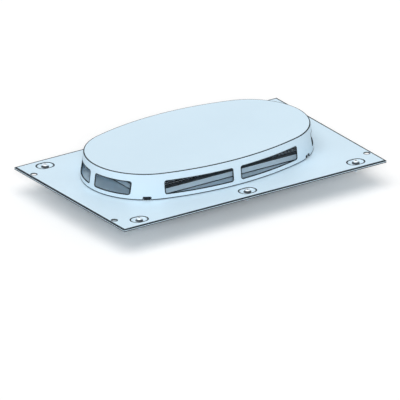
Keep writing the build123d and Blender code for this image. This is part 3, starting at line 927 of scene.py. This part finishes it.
def housing(side):
    at = fan_spots[side]
    bm = bmesh.new()
    flange, _ = fold([
        (-1.5, flange_top, 0, 0), (0, flange_top, 0.5, 0),
        (0, flange_low, 0.9, 0), (-1.5, flange_low, 0, 0),
    ])
    plate = skin(bm, rings(lambda g: rounded(172, 172, 9, g, 8, at), flange))
    duct, _ = fold([
        (83.5, flange_low, 0, 0), (81.0, flange_low, 1.6, 0), (81.0, fan_floor, 0.7, 0),
        (79.8, fan_floor, 0.9, 0), (78.0, -42.0, 2.0, 0), (78.0, flange_top, 1.0, 0),
        (79.6, flange_top, 0, 0),
    ], steps=5)
    tube = skin(bm, stack(duct, 96, at))
    upper, lower = [plate[0], tube[-1]], [plate[-1], tube[0]]
    for u, v in bolt_places:
        hole = skin(bm, stack([(2.25, flange_top), (2.25, flange_low)], 16, (at[0] + u, at[1] + v)))
        upper.append(hole[0])
        lower.append(hole[1])
    sheet_between(bm, upper)
    sheet_between(bm, lower)
    for angle in diagonals:
        c, s = math.cos(angle), math.sin(angle)
        post = [(-0.6, fan_floor, 0, 0), (0, fan_floor, 0.5, 0), (0, -1.2, 0, 0)]
        block(bm, 9, 9, 2.0, post, (at[0] + post_reach * c, at[1] + post_reach * s), angle)
        arm = [(-1.2, fan_floor, 0, 0), (0, fan_floor, 1.4, 0), (0, -42.5, 1.8, 0), (-1.4, -42.5, 0, 0)]
        block(bm, 72, 9, 1.6, arm, (at[0] + 43 * c - 14 * s, at[1] + 43 * s + 14 * c), angle)
    base, _ = fold([
        (10.0, fan_floor, 0, 0), (28.0, fan_floor, 0, 0), (28.6, -46.9, 0.3, 0), (31.4, -46.9, 0.3, 0),
        (32.0, fan_floor, 0, 0), (36.0, fan_floor, 0.8, 0), (36.0, -44.0, 0.8, 0), (12.5, -44.0, 1.2, 0),
        (10.5, -42.0, 0.8, 0), (10.5, -20.0, 0.5, 0), (7.6, -20.0, 0, 0),
    ])
    turned(bm, base, at, 72, last_cap=False)
    name = f"fan_housing_casting_{side}"
    piece_from(bm, name, [fan_casting], [f"fan_housing_{side}"])


for side in fan_spots:
    housing(side)

# %% [markdown]
# An impeller's blades are arched strips of sheet set at a pitch, with rounded outer corners. Each blade
# is a grid of points: along the radius, and along an arc across it. Giving the grid a second layer on
# the other side of the sheet and joining the two round the border gives the blade its thickness.

# %% Impellers
chord, camber, blade_pitch, blade_sheet = 56.0, 7.0, math.radians(33), 1.5
blade_foot, blade_tip, blade_level = 33.6, 76.4, -20.5
arch = (chord * chord / 4 + camber * camber) / (2 * camber)


def blade_point(along, across, layer):
    """Point of a blade that stands on +X; along and across run from 0 to 1"""
    trim = 1 - 0.16 * along ** 5
    c = chord * (across - 0.5) * trim
    thin = 1 - 0.55 * abs(2 * across - 1) ** 6
    n = math.sqrt(arch * arch - c * c) - (arch - camber) + blade_sheet * (0.5 + (layer - 0.5) * thin)
    y = c * math.cos(blade_pitch) - n * math.sin(blade_pitch)
    z = blade_level + c * math.sin(blade_pitch) + n * math.cos(blade_pitch)
    foot = math.sqrt(blade_foot ** 2 - y * y)
    tip = math.sqrt(blade_tip ** 2 - y * y)
    return Vector((foot + (tip - foot) * along, y, z))


def impeller(side):
    at = Vector((*fan_spots[side], 0))
    bm = bmesh.new()
    bell, _ = fold([
        (4.06, -4.5, 0, 0), (32.5, -4.5, 1.5, 0), (32.5, -39.5, 0.3, 0), (35.0, -39.5, 0.5, 0),
        (35.0, -1.5, 4.0, 0), (24.0, -1.5, 0, 0), (22.5, -2.4, 0.6, 0), (12.0, -2.4, 0.6, 0),
        (10.5, -1.5, 0, 0), (4.06, -1.5, 0, 0),
    ], steps=6)
    skin(bm, stack(bell, 72, at), closed=True)
    long_steps, cross_steps = 14, 16
    for number in range(5):
        spin = Matrix.Rotation(math.tau * number / 5, 3, "Z")
        grids = []
        for layer in (0, 1):
            grid = []
            for i in range(long_steps + 1):
                row = [blade_point(i / long_steps, j / cross_steps, layer) for j in range(cross_steps + 1)]
                grid.append([bm.verts.new(at + spin @ point) for point in row])
            grids.append(grid)
        for grid in grids:
            for i in range(long_steps):
                for j in range(cross_steps):
                    bm.faces.new((grid[i][j], grid[i][j + 1], grid[i + 1][j + 1], grid[i + 1][j]))
        rims = []
        for grid in grids:
            outer, inner = [row[-1] for row in grid[:-1]], [row[0] for row in grid[:0:-1]]
            rims.append(grid[0][:-1] + outer + grid[-1][:0:-1] + inner)
        for k in range(len(rims[0])):
            n = (k + 1) % len(rims[0])
            bm.faces.new((rims[0][k], rims[0][n], rims[1][n], rims[1][k]))
    name, body = f"impeller_blades_{side}", f"rotor_{side}"
    piece_from(bm, name, [impeller_paint], [f"impeller_{side}"], body, 0.3, 50)


for side in fan_spots:
    impeller(side)

# %% [markdown]
# The finger guards are bent from bright round wire: rings on four spokes that end in eyes under the
# screws. A ring of wire is a circle carried round a circle, and a spoke is one carried along a line.

# %% Finger guards
def hoop(bm, radius, wire, at, z, sides=72, around=8):
    """Ring of wire"""
    loops = []
    for k in range(sides):
        angle = math.tau * k / sides
        loops.append([
            (
                at[0] + (radius + wire * math.cos(turn)) * math.cos(angle),
                at[1] + (radius + wire * math.cos(turn)) * math.sin(angle),
                z + wire * math.sin(turn),
            )
            for turn in [math.tau * m / around for m in range(around)]
        ])
    skin(bm, loops, closed=True)


def wire_between(bm, start, end, wire, around=10):
    """Straight wire with its ends chamfered"""
    start, end = Vector(start), Vector(end)
    along = (end - start).normalized()
    level = Vector((-along.y, along.x, 0)).normalized()
    upright = along.cross(level)
    bite = along * wire * 0.5
    turns = [math.tau * m / around for m in range(around)]
    loops = []
    for place, size in ((start, 0.6), (start + bite, 1), (end - bite, 1), (end, 0.6)):
        radius = wire * size
        loops.append([
            tuple(place + level * radius * math.cos(turn) + upright * radius * math.sin(turn))
            for turn in turns
        ])
    skin(bm, loops, first_cap=True, last_cap=True)


bm = bmesh.new()
for at in fan_spots.values():
    for radius in (16, 29, 43.5, 58, 70):
        hoop(bm, radius, 0.95, at, -48.45)
    for angle in diagonals:
        c, s = math.cos(angle), math.sin(angle)
        ends = [(at[0] + reach * c, at[1] + reach * s, -48.5) for reach in (15, 81)]
        wire_between(bm, *ends, 1.0)
        hoop(bm, 3.1, 1.0, (at[0] + post_reach * c, at[1] + post_reach * s), -48.5, 32)
piece_from(bm, "wire_finger_guards", [guard_chrome], ["finger_guards"])


# %% [markdown]
# Guard screws and fan bolts are hexagon heads with a short threaded end, and the earth nut is the same
# hexagon with a hole. A hexagon whose ends are drawn in a little has the turned-down corners of a real
# one, and a fine bevel takes the rest of the sharpness away.

# %% Hexagon heads: guard screws, fan bolts and earth nut
def hexagon_head(bm, across_flats, low, high, at, hole=0.0):
    """Hexagon with its corners turned down at both ends, solid or with a hole"""
    corner = across_flats / math.sqrt(3)
    cut = corner * 0.09
    loops = stack([
        (corner - cut, low),
        (corner, low + cut * 0.7),
        (corner, high - cut * 0.7),
        (corner - cut, high),
    ], 6, at)
    rows = skin(bm, loops, first_cap=not hole, last_cap=not hole)
    if hole:
        bore = skin(bm, stack([(hole, low), (hole, high)], 24, at))
        sheet_between(bm, [rows[0], bore[0]])
        sheet_between(bm, [rows[-1], bore[1]])


bm = bmesh.new()
for at in fan_spots.values():
    for angle in diagonals:
        spot = (at[0] + post_reach * math.cos(angle), at[1] + post_reach * math.sin(angle))
        hexagon_head(bm, 5.5, -51.5, -49.5, spot)
        threaded(bm, 1.5, 0.5, -49.6, -40.5, spot, 12, 4)
piece_from(bm, "guard_hexagon_screws", [screw_zinc], ["guard_screws"], bevel=0.12)
bm = bmesh.new()
for at in fan_spots.values():
    for u, v in bolt_places:
        hexagon_head(bm, 7.0, -3.8, -1.0, (at[0] + u, at[1] + v))
        threaded(bm, 2.0, 0.7, -1.2, 9.0, (at[0] + u, at[1] + v), 14, 5)
piece_from(bm, "fan_hexagon_bolts", [screw_zinc], ["fan_bolts"], bevel=0.15)
bm = bmesh.new()
inlet_x = 194
earth_spot = (inlet_x, -22)
threaded(bm, 2.5, 0.8, -12.5, 3.4, earth_spot, 16, 6)
piece_from(bm, "earth_threaded_stud", [earth_brass], ["earth_stud"])
bm = bmesh.new()
hexagon_head(bm, 8.0, -0.5, 3.5, earth_spot, 2.55)
piece_from(bm, "earth_hexagon_nut", [earth_brass], ["earth_nut"], bevel=0.15)

# %% [markdown]
# The electric inlet is a moulded terminal block with four square wells, a clamp screw in each. Its lower
# face is a flat sheet with four holes, and the wells hang from those holes as short tubes with a floor.

# %% Terminal block
bm = bmesh.new()
body, _ = fold([(-1.5, 3.5, 0, 0), (0, 3.5, 0.6, 0), (0, -13.5, 0.8, 0), (-1.2, -13.5, 0, 0)])
shell = skin(bm, rings(lambda g: rounded(20, 46, 1.5, g, 5, (inlet_x, outlet_y)), body), first_cap=True)
mouths = [shell[-1]]
poles = [(inlet_x, outlet_y + (pole - 1.5) * 11.5) for pole in range(4)]
for at in poles:
    well, _ = fold([(0.5, -13.5, 0, 0), (0, -12.9, 0.3, 0), (0, -4.5, 0.3, 0), (-1.2, -4.5, 0, 0)])
    rows = skin(bm, rings(lambda g: rounded(7, 7, 1.0, g, 4, at), well), last_cap=True)
    mouths.append(rows[0])
    for side in (-1, 1):
        rib = (inlet_x + side * 10.15, at[1])
        block(bm, 1.2, 9.6, 0.4, [(0, -12.6, 0, 0), (0, 2.0, 0, 0)], rib)
sheet_between(bm, mouths)
piece_from(bm, "moulded_terminal_block", [terminal_plastic], ["terminal_block"])
bm = bmesh.new()
for pole, at in enumerate(poles):
    points, _ = fold([(2.6, -5.0, 0, 0), (2.6, -6.6, 0.5, 0), (1.4, -6.8, 0, 0)])
    turned(bm, points, at, 24)
    block(bm, 4.4, 0.7, 0.1, [(0, -6.95, 0, 0), (0, -6.7, 0, 0)], at, 0.4 * pole + 0.3)
piece_from(bm, "terminal_clamp_screws", [earth_brass])

# %% [markdown]
# The gasket is four strips of black closed-cell foam, cut square and butted at the corners.

# %% Gasket
bm = bmesh.new()
strip = [(-0.8, 0.02, 0, 0), (0, 0.02, 0.6, 0), (0, 3.46, 0.5, 0), (-0.8, 3.46, 0, 0)]
for sign in (-1, 1):
    block(bm, 606, 12, 0.6, strip, (0, sign * 149))
    block(bm, 12, 285.9, 0.6, strip, (sign * 297, 0))
piece_from(bm, "foam_gasket_strips", [gasket_foam], ["roof_gasket"])

# %% [markdown]
# The floor is a wide pale sheet at the height of the lowest screws. It stays a plain surface, so that
# the only thing on it is the soft shadow of the fans and the panel.

# %% Floor
floor_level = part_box("guard_screws")[0].z - 0.0002
floor_mesh = bpy.data.meshes.new("studio_floor")
corners = [(-6, -6, floor_level), (6, -6, floor_level), (6, 6, floor_level), (-6, 6, floor_level)]
floor_mesh.from_pydata(corners, [], [(0, 1, 2, 3)])
floor = bpy.data.objects.new("studio_floor", floor_mesh)
bpy.context.scene.collection.objects.link(floor)
floor_white = finish_of(
    "floor_white", (0.93, 0.93, 0.93), (0.96, 0.96, 0.96), (0.8, 0.9), (60, 0.00002), patch=1.5
)
tree = floor_white.node_tree
path = tree.nodes.new("ShaderNodeLightPath")
glow = tree.nodes.new("ShaderNodeMath")
glow.operation = "MULTIPLY"
glow.inputs[1].default_value = 0.07
tree.links.new(path.outputs["Is Camera Ray"], glow.inputs[0])
shader = tree.nodes["Principled BSDF"]
shader.inputs["Emission Color"].default_value = (1, 1, 1, 1)
tree.links.new(glow.outputs[0], shader.inputs["Emission Strength"])
floor_mesh.materials.append(floor_white)
print("floor at", round(floor_level, 4))
